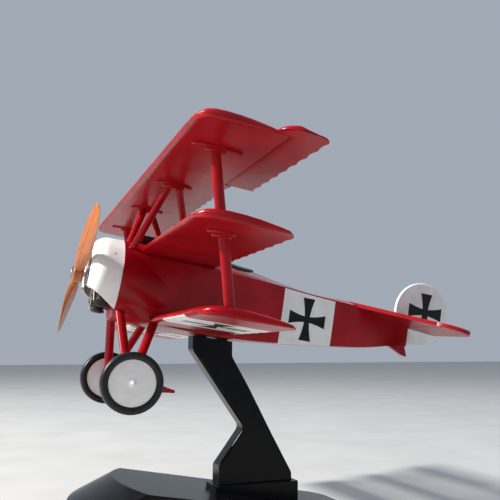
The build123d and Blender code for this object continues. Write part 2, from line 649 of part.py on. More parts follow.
PIN_FRONT = PROP_Y - HUB_HALF - 0.4
with BuildPart() as prop_pin:
    with BuildSketch(Plane.XZ.offset(-PIN_FRONT)):
        Circle(0.72)
    extrude(amount=-0.22)
    with BuildSketch(Plane.XZ.offset(-PIN_FRONT)):
        Circle(PIN_R)
    extrude(amount=PIN_FRONT - 1.5)
    fillet(prop_pin.faces().sort_by(Axis.Y)[0].edges(), 0.2)
save(prop_pin, "propeller_pin", AIRFRAME)

# ---------------------------------------------------------------- tail skid
with BuildPart() as tail_skid:
    with BuildSketch(Plane.YZ.offset(-0.45)):
        with BuildLine():
            Polyline((68.0, -3.4), (72.9, -3.0), (73.9, -5.6), (72.6, -5.4), close=True)
        make_face()
    extrude(amount=0.9)
    add(hull, mode=Mode.SUBTRACT)
save(tail_skid, "tail_skid", AIRFRAME)


# ---------------------------------------------------------------- stand
def base_block(inset, lower):
    """The stand's base: a bowed front, a top that falls towards the tail and a raked front band."""
    half, rear = BASE_HALF_WIDTH - inset, BASE_HALF_LENGTH - inset
    corner, front = -rear + BASE_NOSE_SAGITTA, -rear
    with BuildPart(mode=Mode.PRIVATE) as block:
        with BuildSketch(Plane.XY.offset(BASE_GAP)):
            with BuildLine():
                Line((-half, corner), (-half, rear))
                Line((-half, rear), (half, rear))
                Line((half, rear), (half, corner))
                ThreePointArc((half, corner), (0, front), (-half, corner))
            make_face()
        extrude(amount=24)
        fillet(block.edges().filter_by(Axis.Z).group_by(Axis.Y)[-1], 4.0)
        fillet(block.edges().filter_by(Axis.Z).group_by(Axis.Y)[0], 2.0)
        top_front = BASE_TOP_Z + BASE_TOP_SLOPE * 40 - lower
        top_rear = BASE_TOP_Z - BASE_TOP_SLOPE * 40 - lower
        with BuildSketch(Plane.YZ.offset(-30)):
            with BuildLine():
                Polyline((-40, top_front), (40, top_rear), (40, 40), (-40, 40), close=True)
            make_face()
        extrude(amount=60, mode=Mode.SUBTRACT)
        # raked band round the front
        band_y, band_low = -rear + 8.5, BASE_TOP_Z - 0.2 - lower
        ridge_z = BASE_TOP_Z - lower - BASE_TOP_SLOPE * band_y
        radius = (half ** 2 + BASE_NOSE_SAGITTA ** 2) / (2 * BASE_NOSE_SAGITTA)
        centre_y = front + radius
        with BuildSketch(Plane.YZ):
            with BuildLine():
                slope = (ridge_z - band_low) / 8.5
                Polyline((band_y, ridge_z), (front - 6, ridge_z - slope * 14.5), (front - 6, 40),
                         (band_y, 40), close=True)
            make_face()
        revolve(axis=Axis((0, centre_y, 0), (0, 0, 1)), mode=Mode.SUBTRACT)
    return block.part


BOSSES = ((11.0, 24.0), (-11.0, 24.0), (11.0, -15.0), (-11.0, -15.0))
BOSS_R, SCREW_R, HEAD_R, PLATE_TOP = 2.2, 0.8, 1.5, 1.6
FOOT_Y, FOOT_LONG, SOCKET_FLOOR, FIT = 7.1, 16.2, 8.2, 0.1

with BuildPart() as base_shell:
    add(base_block(0, 0))
    add(base_block(1.8, 1.8), mode=Mode.SUBTRACT)
    with Locations((0, FOOT_Y, 4.2)):
        Box(2 * ARM_HALF + 2.6, FOOT_LONG + 2.0, SOCKET_TOP - 4.2, align=(Align.CENTER, Align.CENTER, Align.MIN))
    fillet(base_shell.faces().sort_by(Axis.Z)[-1].edges(), 0.5)
    with Locations((0, FOOT_Y, SOCKET_FLOOR)):
        Box(2 * (ARM_HALF + FIT), FOOT_LONG + 2 * FIT, 10, align=(Align.CENTER, Align.CENTER, Align.MIN),
            mode=Mode.SUBTRACT)
    for x, y in BOSSES:
        roof = BASE_TOP_Z - BASE_TOP_SLOPE * y - 1.2
        with Locations((x, y, PLATE_TOP)):
            Cylinder(BOSS_R, roof - PLATE_TOP, align=(Align.CENTER, Align.CENTER, Align.MIN))
            Cylinder(SCREW_R, roof - PLATE_TOP - 0.6, align=(Align.CENTER, Align.CENTER, Align.MIN),
                     mode=Mode.SUBTRACT)
    with Locations((0, FOOT_Y, 0)):
        Cylinder(SCREW_R + FIT, 20, mode=Mode.SUBTRACT)
save(base_shell, "stand_base")

with BuildPart() as base_plate:
    half, rear, front = BASE_HALF_WIDTH - 1.9, BASE_HALF_LENGTH - 1.9, -BASE_HALF_LENGTH + 1.9
    with BuildSketch(Plane.XY):
        with BuildLine():
            Polyline((-half, front + BASE_NOSE_SAGITTA), (-half, rear), (half, rear),
                     (half, front + BASE_NOSE_SAGITTA))
            ThreePointArc((half, front + BASE_NOSE_SAGITTA), (0, front), (-half, front + BASE_NOSE_SAGITTA))
        make_face()
    extrude(amount=PLATE_TOP)
    fillet(base_plate.edges().filter_by(Axis.Z).group_by(Axis.Y)[-1], 4.0)
    fillet(base_plate.edges().filter_by(Axis.Z).group_by(Axis.Y)[0], 2.0)
    for x, y in BOSSES:
        with Locations((x, y, 0)):
            Cylinder(SCREW_R + FIT, 6, mode=Mode.SUBTRACT)
            Cylinder(HEAD_R + FIT, 0.9, align=(Align.CENTER, Align.CENTER, Align.MIN), mode=Mode.SUBTRACT)
save(base_plate, "stand_bottom_plate")

with BuildPart() as base_screws:
    for x, y in BOSSES:
        with Locations((x, y, 0.1)):
            Cylinder(HEAD_R, 0.8, align=(Align.CENTER, Align.CENTER, Align.MIN))
            Cylinder(SCREW_R - 0.05, 2.6, align=(Align.CENTER, Align.CENTER, Align.MIN))
            Box(2.0, 0.4, 0.8, mode=Mode.SUBTRACT)
            Box(0.4, 2.0, 0.8, mode=Mode.SUBTRACT)
save(base_screws, "stand_base_screws")

with BuildPart() as arm_screw:
    with Locations((0, FOOT_Y, 4.2)):
        Cylinder(1.8, 1.2, align=(Align.CENTER, Align.CENTER, Align.MAX))
        Cylinder(SCREW_R - 0.05, 7.6, align=(Align.CENTER, Align.CENTER, Align.MIN))
    with Locations((0, FOOT_Y, 3.0)):
        Box(2.4, 0.45, 0.8, mode=Mode.SUBTRACT)
        Box(0.45, 2.4, 0.8, mode=Mode.SUBTRACT)
save(arm_screw, "stand_arm_screw")

PRONG_TOP, SADDLE_GAP = -6.3, 0.25
belly_at = AIRFRAME * Location((0, 0, -8.4 - SADDLE_GAP))
with BuildPart() as stand_arm:
    with BuildSketch(Plane.YZ.offset(-ARM_HALF)):
        with BuildLine():
            Polyline((-6.9, 44), (1.7, 44), (1.7, 37.0), (5.4, 30.6), (10.8, 20.4), (15.2, 12.4),
                     (15.2, SOCKET_FLOOR), (-1.0, SOCKET_FLOOR), (-1.0, 14.6), (4.4, 22.1), (-6.9, 38.4), close=True)
        make_face()
    extrude(amount=2 * ARM_HALF)
    cutter = Solid.make_box(20, 80, 10).moved(belly_at * Location((-10, -10, 0)))
    add(cutter, mode=Mode.SUBTRACT)
    fillet(stand_arm.edges().filter_by(Axis.X).group_by(Axis.Z)[3:-2], 1.4)
    fillet(stand_arm.faces().filter_by(Axis.X).edges().filter_by(GeomType.LINE, reverse=False)
           .filter_by(lambda e: e.center().Z > 12 and e.center().Z < 39), 0.5)
    for prong_y in PRONG_Y:
        prong = Solid.make_box(PRONG_WIDE, PRONG_LONG, 5).moved(
            AIRFRAME * Location((-PRONG_WIDE / 2, prong_y - PRONG_LONG / 2, PRONG_TOP - 5)))
        add(prong)
    with Locations((0, FOOT_Y, SOCKET_FLOOR)):
        Cylinder(SCREW_R, 4, align=(Align.CENTER, Align.CENTER, Align.MIN), mode=Mode.SUBTRACT)
save(stand_arm, "stand_arm")
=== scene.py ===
"""Three-winged fighter scale model on a black stand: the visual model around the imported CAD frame.

Row frame: +Z up, nose towards -Y, port wing towards +X. Shapes are drawn in the airframe's own frame (x port,
y aft, z up from the propeller axis, millimetres) and AIR sets them nose-up on the stand.
"""
from math import asin, cos, pi, radians, sin, sqrt
import bmesh
import bpy
from mathutils import Matrix, Vector


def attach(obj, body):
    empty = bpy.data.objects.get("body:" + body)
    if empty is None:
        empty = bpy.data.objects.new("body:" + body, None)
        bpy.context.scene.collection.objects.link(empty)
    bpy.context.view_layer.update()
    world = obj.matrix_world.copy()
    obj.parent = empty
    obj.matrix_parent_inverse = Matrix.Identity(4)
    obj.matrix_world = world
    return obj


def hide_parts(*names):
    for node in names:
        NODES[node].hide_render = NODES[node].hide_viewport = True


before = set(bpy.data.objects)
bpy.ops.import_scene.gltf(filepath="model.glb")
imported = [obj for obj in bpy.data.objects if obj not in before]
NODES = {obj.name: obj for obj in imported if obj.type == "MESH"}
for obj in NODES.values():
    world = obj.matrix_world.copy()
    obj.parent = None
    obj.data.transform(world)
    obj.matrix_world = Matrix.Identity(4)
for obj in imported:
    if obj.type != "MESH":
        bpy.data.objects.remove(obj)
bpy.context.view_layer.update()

MM = 0.001
NOSE_UP, AIR_Y, AIR_Z = radians(8.3), -26.5, 53.0
AIR = Matrix.Translation((0, AIR_Y * MM, AIR_Z * MM)) @ Matrix.Rotation(-NOSE_UP, 4, "X")
AIR = AIR @ Matrix.Scale(MM, 4)
MERGE = 2e-6                            # metres; points closer than this become one

# ------------------------------------------------------------------ sizes shared by shapes and paint
RIB_PITCH, SCALLOP = 4.2, 0.35
UPPER = dict(y0=3.7, z0=18.7, half=53.8, chord=15.1, thick=2.0)
MIDDLE = dict(y0=6.9, z0=5.65, half=49.5, chord=15.9, thick=2.1)
LOWER = dict(y0=11.0, z0=-7.85, half=45.5, chord=15.9, thick=2.1)
AILERON_FROM = 21.6                     # inboard end of the aileron's cut-out in the upper wing
PROP_Y, PROP_TURN = -3.5, radians(58)
WHEEL_AT = (15.4, 7.9, -19.7)


# ------------------------------------------------------------------ mesh helpers
def new_object(name, verts, faces, material, body, at=AIR):
    """A smooth-shaded mesh from points in millimetres, placed in the row frame and riding on a body."""
    mesh = bpy.data.meshes.new(name)
    mesh.from_pydata([at @ Vector(v) for v in verts], [], faces)
    bm = bmesh.new()
    bm.from_mesh(mesh)
    bmesh.ops.remove_doubles(bm, verts=bm.verts, dist=MERGE)
    bmesh.ops.recalc_face_normals(bm, faces=bm.faces)
    bm.to_mesh(mesh)
    bm.free()
    for poly in mesh.polygons:
        poly.use_smooth = True
    obj = bpy.data.objects.new(name, mesh)
    bpy.context.scene.collection.objects.link(obj)
    mesh.materials.append(material)
    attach(obj, body)
    return obj


def sharpen(obj, degrees=35):
    """Marks edges over the angle as sharp, so smooth shading keeps its creases."""
    bm = bmesh.new()
    bm.from_mesh(obj.data)
    for edge in bm.edges:
        if len(edge.link_faces) == 2 and edge.calc_face_angle(0) > radians(degrees):
            edge.smooth = False
    bm.to_mesh(obj.data)
    bm.free()
    return obj


def grid_faces(rows, cols, close_cols=False, close_rows=False, start=0):
    """Quads over a grid of points numbered row by row from start, optionally joined end to end."""
    faces = []
    for i in range(rows if close_rows else rows - 1):
        this, following = start + i * cols, start + ((i + 1) % rows) * cols
        for j in range(cols if close_cols else cols - 1):
            right = (j + 1) % cols
            faces.append((this + j, this + right, following + right, following + j))
    return faces


def lathe(profile, axis="Y", steps=96):
    """Points and faces of a profile of (along, radius) pairs turned about the Y or the X axis."""
    verts = []
    for along, r in profile:
        for k in range(steps):
            a = 2 * pi * k / steps
            verts.append((r * cos(a), along, r * sin(a)) if axis == "Y" else (along, r * cos(a), r * sin(a)))
    return verts, grid_faces(len(profile), steps, close_cols=True)


def smoothstep(a, b, x):
    """Eases from 0 at a to 1 at b."""
    t = max(0.0, min(1.0, (x - a) / (b - a)))
    return t * t * (3 - 2 * t)


# ------------------------------------------------------------------ materials
MIX_A, MIX_B, MIX_COLOUR = 6, 7, 2      # the Mix node's colour sockets; several sockets share their names
FLARE_POWER = 1.7                       # how late the arms of a cross widen


class Shader:
    """Small builder round one Principled material, with coordinates in the airframe's millimetres."""

    def __init__(self, name):
        self.mat = bpy.data.materials.new(name)
        self.mat.use_nodes = True
        self.tree = self.mat.node_tree
        self.bsdf = self.tree.nodes["Principled BSDF"]
        coords = self.tree.nodes.new("ShaderNodeTexCoord")
        mapping = self.tree.nodes.new("ShaderNodeMapping")
        mapping.vector_type = "TEXTURE"
        mapping.inputs["Location"].default_value = (0, AIR_Y * MM, AIR_Z * MM)
        mapping.inputs["Rotation"].default_value = (-NOSE_UP, 0, 0)
        mapping.inputs["Scale"].default_value = (MM, MM, MM)
        self.link(coords.outputs["Object"], mapping.inputs["Vector"])
        self.air = mapping.outputs["Vector"]
        self._xyz = None

    def link(self, a, b):
        self.tree.links.new(a, b)

    def put(self, socket, value):
        """Feeds a socket from another node, or sets a constant on it."""
        if isinstance(value, bpy.types.NodeSocket):
            self.link(value, socket)
        else:
            socket.default_value = value

    def set(self, **values):
        """Sets Principled inputs by name, with underscores for spaces."""
        for key, value in values.items():
            self.put(self.bsdf.inputs[key.replace("_", " ")], value)

    def xyz(self):
        if self._xyz is None:
            node = self.tree.nodes.new("ShaderNodeSeparateXYZ")
            self.link(self.air, node.inputs[0])
            self._xyz = node.outputs
        return self._xyz

    def math(self, op, a, b=0.0, c=0.0):
        node = self.tree.nodes.new("ShaderNodeMath")
        node.operation = op
        for i, value in enumerate((a, b, c)):
            self.put(node.inputs[i], value)
        return node.outputs[0]

    def noise(self, scale, detail=4.0, rough=0.5, vector=None, stretch=None):
        vec = vector or self.air
        if stretch:
            mapping = self.tree.nodes.new("ShaderNodeMapping")
            mapping.inputs["Scale"].default_value = stretch
            self.link(vec, mapping.inputs["Vector"])
            vec = mapping.outputs["Vector"]
        node = self.tree.nodes.new("ShaderNodeTexNoise")
        node.inputs["Scale"].default_value = scale
        node.inputs["Detail"].default_value = detail
        node.inputs["Roughness"].default_value = rough
        self.link(vec, node.inputs["Vector"])
        return node.outputs["Fac"]

    def ramp(self, fac, *stops):
        node = self.tree.nodes.new("ShaderNodeValToRGB")
        ramp = node.color_ramp
        while len(ramp.elements) < len(stops):
            ramp.elements.new(0.5)
        for element, (at, colour) in zip(ramp.elements, stops):
            element.position = at
            element.color = (*colour, 1)
        self.link(fac, node.inputs["Fac"])
        return node.outputs["Color"]

    def mix(self, fac, a, b):
        node = self.tree.nodes.new("ShaderNodeMix")
        node.data_type = "RGBA"
        self.put(node.inputs["Factor"], fac)
        for socket, colour in ((MIX_A, a), (MIX_B, b)):
            linked = isinstance(colour, bpy.types.NodeSocket)
            self.put(node.inputs[socket], colour if linked else (*colour, 1))
        return node.outputs[MIX_COLOUR]

    def bump(self, height, strength, distance):
        node = self.tree.nodes.new("ShaderNodeBump")
        node.inputs["Strength"].default_value = strength
        node.inputs["Distance"].default_value = distance
        self.link(height, node.inputs["Height"])
        self.link(node.outputs["Normal"], self.bsdf.inputs["Normal"])

    def inside(self, value, low, high):
        """1 where low < value < high."""
        above, below = self.math("GREATER_THAN", value, low), self.math("LESS_THAN", value, high)
        return self.math("MULTIPLY", above, below)

    def cross(self, u, v, reach_u, reach_v, neck, flare):
        """1 inside a generic cross whose arms widen from neck to flare, in a curve towards flat ends."""
        arms = []
        for along, across, reach in ((u, v, reach_u), (v, u, reach_v)):
            along, across = self.math("ABSOLUTE", along), self.math("ABSOLUTE", across)
            curve = self.math("POWER", self.math("DIVIDE", along, reach), FLARE_POWER)
            width = self.math("MULTIPLY_ADD", curve, flare - neck, neck)
            arms.append(self.math("MULTIPLY", self.math("LESS_THAN", along, reach),
                                  self.math("LESS_THAN", across, width)))
        return self.math("MAXIMUM", *arms)


RED_DEEP, RED, RED_LIGHT = (0.25, 0.0012, 0.005), (0.32, 0.002, 0.007), (0.38, 0.004, 0.010)
# a speckle colour, then the near-black of the painted shade in the gaps round the ailerons
RED_SPECK, HINGE_SHADE = (0.26, 0.010, 0.012), (0.03, 0.001, 0.002)
WHITE_DIM, WHITE, WHITE_CLEAN = (0.77, 0.765, 0.75), (0.84, 0.84, 0.83), (0.87, 0.87, 0.86)
WOOD_DARK, WOOD, WOOD_LIGHT = (0.26, 0.058, 0.008), (0.43, 0.118, 0.018), (0.53, 0.170, 0.034)
# black, then the grey of the painted shade inside the cowling's dimples
BLACK, DIMPLE_SHADE = (0.003, 0.003, 0.0035), (0.25, 0.24, 0.23)
PAINT_BUMP = 0.00005                    # metres
# fuselage panel: its ends, and its upper edge as a slope and a height, just under the upper corner
PANEL_FRONT, PANEL_REAR, PANEL_SLOPE, PANEL_TOP, PANEL_HALF_GAP = 39.3, 52.1, -0.060, 6.95, 2.2
HULL_CROSS = dict(y=45.6, z=-1.35, reach_y=4.5, reach_z=4.75, neck=0.62, flare=1.5)
RUDDER_CROSS = dict(y=77.8, z=5.8, reach_y=4.7, reach_z=4.6, neck=0.75, flare=1.65)
WING_CROSS_NECK, WING_CROSS_FLARE = 0.75, 2.0
UPPER_PANEL = dict(centre_x=41.5, half_x=6.6, y_mid=11.2, reach=5.0, under=False)
LOWER_PANEL = dict(centre_x=25.0, half_x=8.0, y_mid=18.9, reach=6.0, under=True)
# where painted shade darkens the gap along the aileron's hinge, beside its horn and at its inboard end: y
# from, y to, x from, x to
HINGE_GAP = (17.30, 17.60, 21.7, 53.9)
HORN_GAP = (15.0, 17.60, 53.66, 53.92)
END_GAP = (17.40, 18.9, 21.55, 21.95)
UP_OR_DOWN = 0.5                        # how far a normal must lean for a face to count as top or underside
# where the painted shade of each cowling dimple sits, and its radius
COWL_DIMPLE = dict(y=2.2, z=4.3, r=0.3)


def red_colour(s):
    base = s.ramp(s.noise(0.16, 3), (0.3, RED_DEEP), (0.5, RED), (0.72, RED_LIGHT))
    specks = s.ramp(s.noise(3.2, 5, 0.6), (0.70, (0, 0, 0)), (0.78, (0.35, 0.35, 0.35)))
    return s.mix(s.math("MULTIPLY", specks, 0.35), base, RED_SPECK)


def white_colour(s):
    return s.ramp(s.noise(0.35, 4), (0.35, WHITE_DIM), (0.55, WHITE), (0.8, WHITE_CLEAN))


def red_paint(name, extra=None, dull=False):
    """Glossy red enamel with faint patchiness and orange peel. extra(s, colour) may add markings."""
    s = Shader(name)
    colour = red_colour(s)
    if extra:
        colour = extra(s, colour)
    s.set(Base_Color=colour, Roughness=s.math("MULTIPLY_ADD", s.noise(0.5, 3), 0.12, 0.24),
          Coat_Weight=0.0 if dull else 0.10, Coat_Roughness=0.08, Specular_IOR_Level=0.18 if dull else 0.24)
    s.bump(s.noise(0.9, 2), 0.10, PAINT_BUMP)
    return s.mat


def placed_cross(s, y, z, mark):
    """A cross on an upright side of the airframe."""
    return s.cross(s.math("SUBTRACT", y, mark["y"]), s.math("SUBTRACT", z, mark["z"]),
                   mark["reach_y"], mark["reach_z"], mark["neck"], mark["flare"])


def fuselage_marks(s, colour):
    """A white panel with a cross on each side of the hull."""
    x, y, z = s.xyz()
    side = s.math("GREATER_THAN", s.math("ABSOLUTE", x), PANEL_HALF_GAP)
    top = s.math("MULTIPLY_ADD", y, PANEL_SLOPE, PANEL_TOP)
    panel = s.math("MULTIPLY", s.inside(y, PANEL_FRONT, PANEL_REAR), s.math("LESS_THAN", z, top))
    panel = s.math("MULTIPLY", panel, side)
    colour = s.mix(panel, colour, white_colour(s))
    return s.mix(s.math("MULTIPLY", placed_cross(s, y, z, HULL_CROSS), panel), colour, BLACK)


def wing_marks(centre_x, half_x, y_mid, reach, under):
    """White panels with crosses, on the underside or on the top of a wing."""
    def marks(s, colour):
        x, y, _ = s.xyz()
        geometry = s.tree.nodes.new("ShaderNodeNewGeometry")
        split = s.tree.nodes.new("ShaderNodeSeparateXYZ")
        s.link(geometry.outputs["Normal"], split.inputs[0])
        if under:
            face = s.math("LESS_THAN", split.outputs[2], -UP_OR_DOWN)
        else:
            face = s.math("GREATER_THAN", split.outputs[2], UP_OR_DOWN)
        out = s.math("SUBTRACT", s.math("ABSOLUTE", x), centre_x)
        panel = s.math("MULTIPLY", s.math("LESS_THAN", s.math("ABSOLUTE", out), half_x), face)
        colour = s.mix(panel, colour, white_colour(s))
        mark = s.cross(out, s.math("SUBTRACT", y, y_mid), reach, reach, WING_CROSS_NECK, WING_CROSS_FLARE)
        return s.mix(s.math("MULTIPLY", mark, panel), colour, BLACK)
    return marks


def upper_wing_paint(s, colour):
    """Panels and crosses on top, and painted shade in the gaps round each aileron."""
    colour = wing_marks(**UPPER_PANEL)(s, colour)
    x, y, _ = s.xyz()
    out = s.math("ABSOLUTE", x)
    hinge, horn, end = (s.math("MULTIPLY", s.inside(y, y0, y1), s.inside(out, x0, x1))
                        for y0, y1, x0, x1 in (HINGE_GAP, HORN_GAP, END_GAP))
    # painted shade: darkens the thin gaps at the aileron's hinge, horn and inboard end
    gap_shade = s.math("MAXIMUM", s.math("MAXIMUM", hinge, horn), end)
    return s.mix(s.math("MULTIPLY", gap_shade, 0.85), colour, HINGE_SHADE)


def white_paint(name, marks=None):
    """Satin white enamel. marks(s, colour) may add markings."""
    s = Shader(name)
    colour = white_colour(s)
    if marks:
        colour = marks(s, colour)
    s.set(Base_Color=colour, Roughness=s.math("MULTIPLY_ADD", s.noise(1.2, 3), 0.12, 0.40),
          Coat_Weight=0.08, Coat_Roughness=0.2, Specular_IOR_Level=0.3)
    s.bump(s.noise(2.0, 3), 0.15, PAINT_BUMP)
    return s.mat


def cowl_dimple_shade(s, colour):
    """Painted shade of a small moulded dimple on each cheek of the cowling, drawn as a darker disc."""
    _, y, z = s.xyz()
    gap_y, gap_z = s.math("SUBTRACT", y, COWL_DIMPLE["y"]), s.math("SUBTRACT", z, COWL_DIMPLE["z"])
    away = s.math("SQRT", s.math("ADD", s.math("MULTIPLY", gap_y, gap_y), s.math("MULTIPLY", gap_z, gap_z)))
    # painted shade: darkens a disc where the dimple's recess would be
    return s.mix(s.math("MULTIPLY", s.math("LESS_THAN", away, COWL_DIMPLE["r"]), 0.55), colour, DIMPLE_SHADE)


def rudder_marks(s, colour):
    _, y, z = s.xyz()
    return s.mix(placed_cross(s, y, z, RUDDER_CROSS), colour, BLACK)


def plain(name, dark, light, rough, scale, metallic=0.0, bump=0.2, specular=0.5):
    """An unmarked finish, mottled between two colours."""
    s = Shader(name)
    s.set(Base_Color=s.ramp(s.noise(scale, 4), (0.32, dark), (0.68, light)),
          Roughness=s.math("MULTIPLY_ADD", s.noise(scale * 2, 3), 0.12, rough),
          Metallic=metallic, Specular_IOR_Level=specular, Coat_Weight=0.0, Coat_Roughness=0.08)
    s.bump(s.noise(scale * 3, 3), bump, 0.00004)
    return s.mat


def propeller_wood():
    """Varnished wood whose grain runs along the blades."""
    s = Shader("propeller_wood")
    spin = s.tree.nodes.new("ShaderNodeMapping")
    spin.inputs["Rotation"].default_value = (0, -PROP_TURN, 0)
    s.link(s.air, spin.inputs["Vector"])
    grain = s.noise(1.3, 5, 0.6, vector=spin.outputs["Vector"], stretch=(1.6, 1.6, 0.11))
    colour = s.ramp(grain, (0.30, WOOD_DARK), (0.5, WOOD), (0.7, WOOD_LIGHT))
    s.set(Base_Color=colour, Roughness=s.math("MULTIPLY_ADD", grain, 0.15, 0.32), Coat_Weight=0.3)
    s.bump(grain, 0.25, PAINT_BUMP)
    return s.mat


MAT = {
    "red": red_paint("red_enamel"),
    "red_hull": red_paint("red_enamel_hull", fuselage_marks),
    "red_lower": red_paint("red_enamel_lower_wing", wing_marks(**LOWER_PANEL), dull=True),
    "red_upper": red_paint("red_enamel_upper_wing", upper_wing_paint),
    "white": white_paint("white_enamel"),
    "white_cowl": white_paint("white_enamel_cowling", cowl_dimple_shade),
    "white_rudder": white_paint("white_enamel_rudder", rudder_marks),
    "tyre": plain("tyre_rubber", (0.003, 0.003, 0.0035), (0.009, 0.009, 0.010), 0.30, 1.8, specular=0.4),
    "stand": plain("stand_gloss_black", (0.0012, 0.0012, 0.0015), (0.004, 0.004, 0.005), 0.16, 0.5, bump=0.05,
                   specular=0.16),
    "gun": plain("gun_black", (0.005, 0.005, 0.006), (0.02, 0.02, 0.022), 0.28, 2.0, metallic=0.3),
    "trim": plain("black_trim", (0.004, 0.004, 0.005), (0.014, 0.014, 0.015), 0.4, 2.0),
    "seat": plain("seat_leather", (0.10, 0.035, 0.014), (0.22, 0.085, 0.035), 0.5, 1.8),
    "steel": plain("steel", (0.30, 0.30, 0.31), (0.5, 0.5, 0.5), 0.3, 2.5, metallic=1.0),
    "cylinder": plain("cylinder_grey", (0.010, 0.010, 0.012), (0.04, 0.04, 0.044), 0.32, 2.2, metallic=0.5),
    "crank": plain("crankcase_silver", (0.34, 0.31, 0.26), (0.52, 0.48, 0.42), 0.38, 2.0, metallic=0.55),
    "prop": propeller_wood(),
}

# ------------------------------------------------------------------ CAD nodes that stay, with their materials
STAYS = {
    "red_hull": ["fuselage_body", "front_decking", "belly_pan"],
    "red": ["tailplane", "tail_skid", "axle_fairing", "left_cabane_strut", "right_cabane_strut",
            "left_gear_vee", "right_gear_vee", "left_upper_interplane_strut", "right_upper_interplane_strut",
            "left_lower_interplane_strut", "right_lower_interplane_strut"],
    "white_rudder": ["rudder"],
    "tyre": ["left_tyre", "right_tyre"],
    "stand": ["stand_base", "stand_bottom_plate", "stand_arm"],
    "gun": ["left_gun", "right_gun"],
    "trim": ["cockpit_coaming", "cockpit_tub"],
    "seat": ["pilot_seat"],
    "steel": ["belly_screw", "axle_rod", "stand_base_screws", "stand_arm_screw", "propeller_hub_plate",
              "propeller_pin"],
    "cylinder": ["engine_cylinders"],
    "crank": ["engine_crankcase", "engine_pushrods"],
}
for key, names in STAYS.items():
    for name in names:
        mesh = NODES[name].data
        mesh.materials.clear()
        mesh.materials.append(MAT[key])

# ------------------------------------------------------------------ wings
# the wing section's nose and upper side as (chord fraction, height as a share of the thickness)
SECTION = ((1.0, 0.15), (0.9, 0.36), (0.8, 0.55), (0.62, 0.80), (0.45, 0.95), (0.3, 1.0), (0.18, 0.95),
           (0.10, 0.84), (0.05, 0.68), (0.02, 0.52), (0.0, 0.34), (0.012, 0.16), (0.035, 0.06), (0.07, 0.0))
UNDERSIDE = (0.15, 0.3, 0.45, 0.6, 0.75, 0.88, 0.95, 1.0)       # chord fractions of the flat underside
EDGE_R = 0.45                           # how far the rounded tip reaches past the last rib
EDGE_ANGLES = (15, 30, 45, 60, 75, 88)
STEPS_PER_RIB = 6
RIB_SAG, UNDER_SAG = 0.055, 0.012       # how deep the covering dips between ribs
CORNER, REAR_CORNER = 4.0, 1.9          # how far the tip's corners stand inboard of its widest point
TIP_FROM = 0.70                         # share of the span at which the tip's outline begins
AILERON_STEP = 1.4                      # how far the skin stops short of the trailing edge along an aileron


def tip_reach(v, rear_corner):
    """How far the outline at chord fraction v stands inboard of the wing's widest point."""
    front = CORNER * (1 - sqrt(max(0.0, 1 - (1 - min(v / 0.17, 1.0)) ** 2)))
    rake = 1 - min(v / 0.86, 1.0)
    rear = rear_corner * (max(0.0, (v - 0.88) / 0.12)) ** 2
    return front + rake + rear


def make_wing(name, y0, z0, half, chord, thick, material, ail_from=None):
    """A wing as one closed skin: rib ridges, a scalloped trailing edge and full, rounded tips."""
    ring = [(v, h, True) for v, h in SECTION] + [(v, 0.0, False) for v in UNDERSIDE]
    count = int(half * STEPS_PER_RIB / RIB_PITCH)
    edge = [(1.0, radians(a)) for a in EDGE_ANGLES]
    stations = [(-1.0, a) for _, a in reversed(edge)]
    stations += [(i / count, 0.0) for i in range(-count, count + 1)] + edge
    rear_corner = 0.0 if ail_from else REAR_CORNER
    verts = []
    for u, angle in stations:
        tip_thin = 1 - 0.22 * smoothstep(0.90, 1.0, abs(u))
        for v, h, upper in ring:
            outline = half - EDGE_R - tip_reach(v, rear_corner) * smoothstep(TIP_FROM, 1.0, abs(u))
            x = abs(u) * outline + EDGE_R * sin(angle)
            rib = abs(sin(pi * x / RIB_PITCH))
            if ail_from and x > ail_from:
                y = y0 + v * (chord - AILERON_STEP)
            else:
                y = y0 + v * chord - SCALLOP * rib * smoothstep(0.86, 1.0, v)
            z = h * thick
            if upper and 0.05 < v < 1.0:
                z -= RIB_SAG * rib * smoothstep(0.0, 0.2, v)
            if not upper:
                z += UNDER_SAG * rib * smoothstep(0.05, 0.3, v) * (1 - smoothstep(0.9, 1.0, v))
            z *= tip_thin
            middle = 0.42 * thick * (1 - 0.75 * v) * tip_thin
            z = middle + (z - middle) * cos(angle)
            verts.append((x if u >= 0 else -x, y, z0 + z))
    rows, cols = len(stations), len(ring)
    faces = grid_faces(rows, cols, close_cols=True)
    faces.append(tuple(range(cols)))
    faces.append(tuple(range((rows - 1) * cols, rows * cols)))
    return sharpen(new_object(name, verts, faces, material, "aircraft"), 50)


upper = make_wing("upper_wing_skin", **UPPER, material=MAT["red_upper"], ail_from=AILERON_FROM)
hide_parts("upper_wing")
middle = make_wing("middle_wing_skin", **MIDDLE, material=MAT["red"])
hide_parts("middle_wing")
lower = make_wing("lower_wing_skin", **LOWER, material=MAT["red_lower"])
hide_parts("lower_wing")

AILERON_IN, AILERON_TIP, HINGE_Y, HORN_Y, AILERON_TE = 21.85, 57.05, 17.46, 15.1, 23.0
AILERON_V = (0, 0.06, 0.15, 0.3, 0.45, 0.6, 0.75, 0.88, 0.95, 1.0)
HORN_STEPS = (0.02, 0.06, 0.12, 0.3, 0.6, 1.0, 1.4, 1.8, 2.15, 2.45, 2.7, 2.9, 3.05, 3.15, 3.21, 3.25)
HORN_BLEND, TIP_ROUND, TIP_FADE = 0.06, 2.6, 0.5
AILERON_THICK, HORN_THICKER, AILERON_TE_THICK = 0.72, 0.28, 0.28


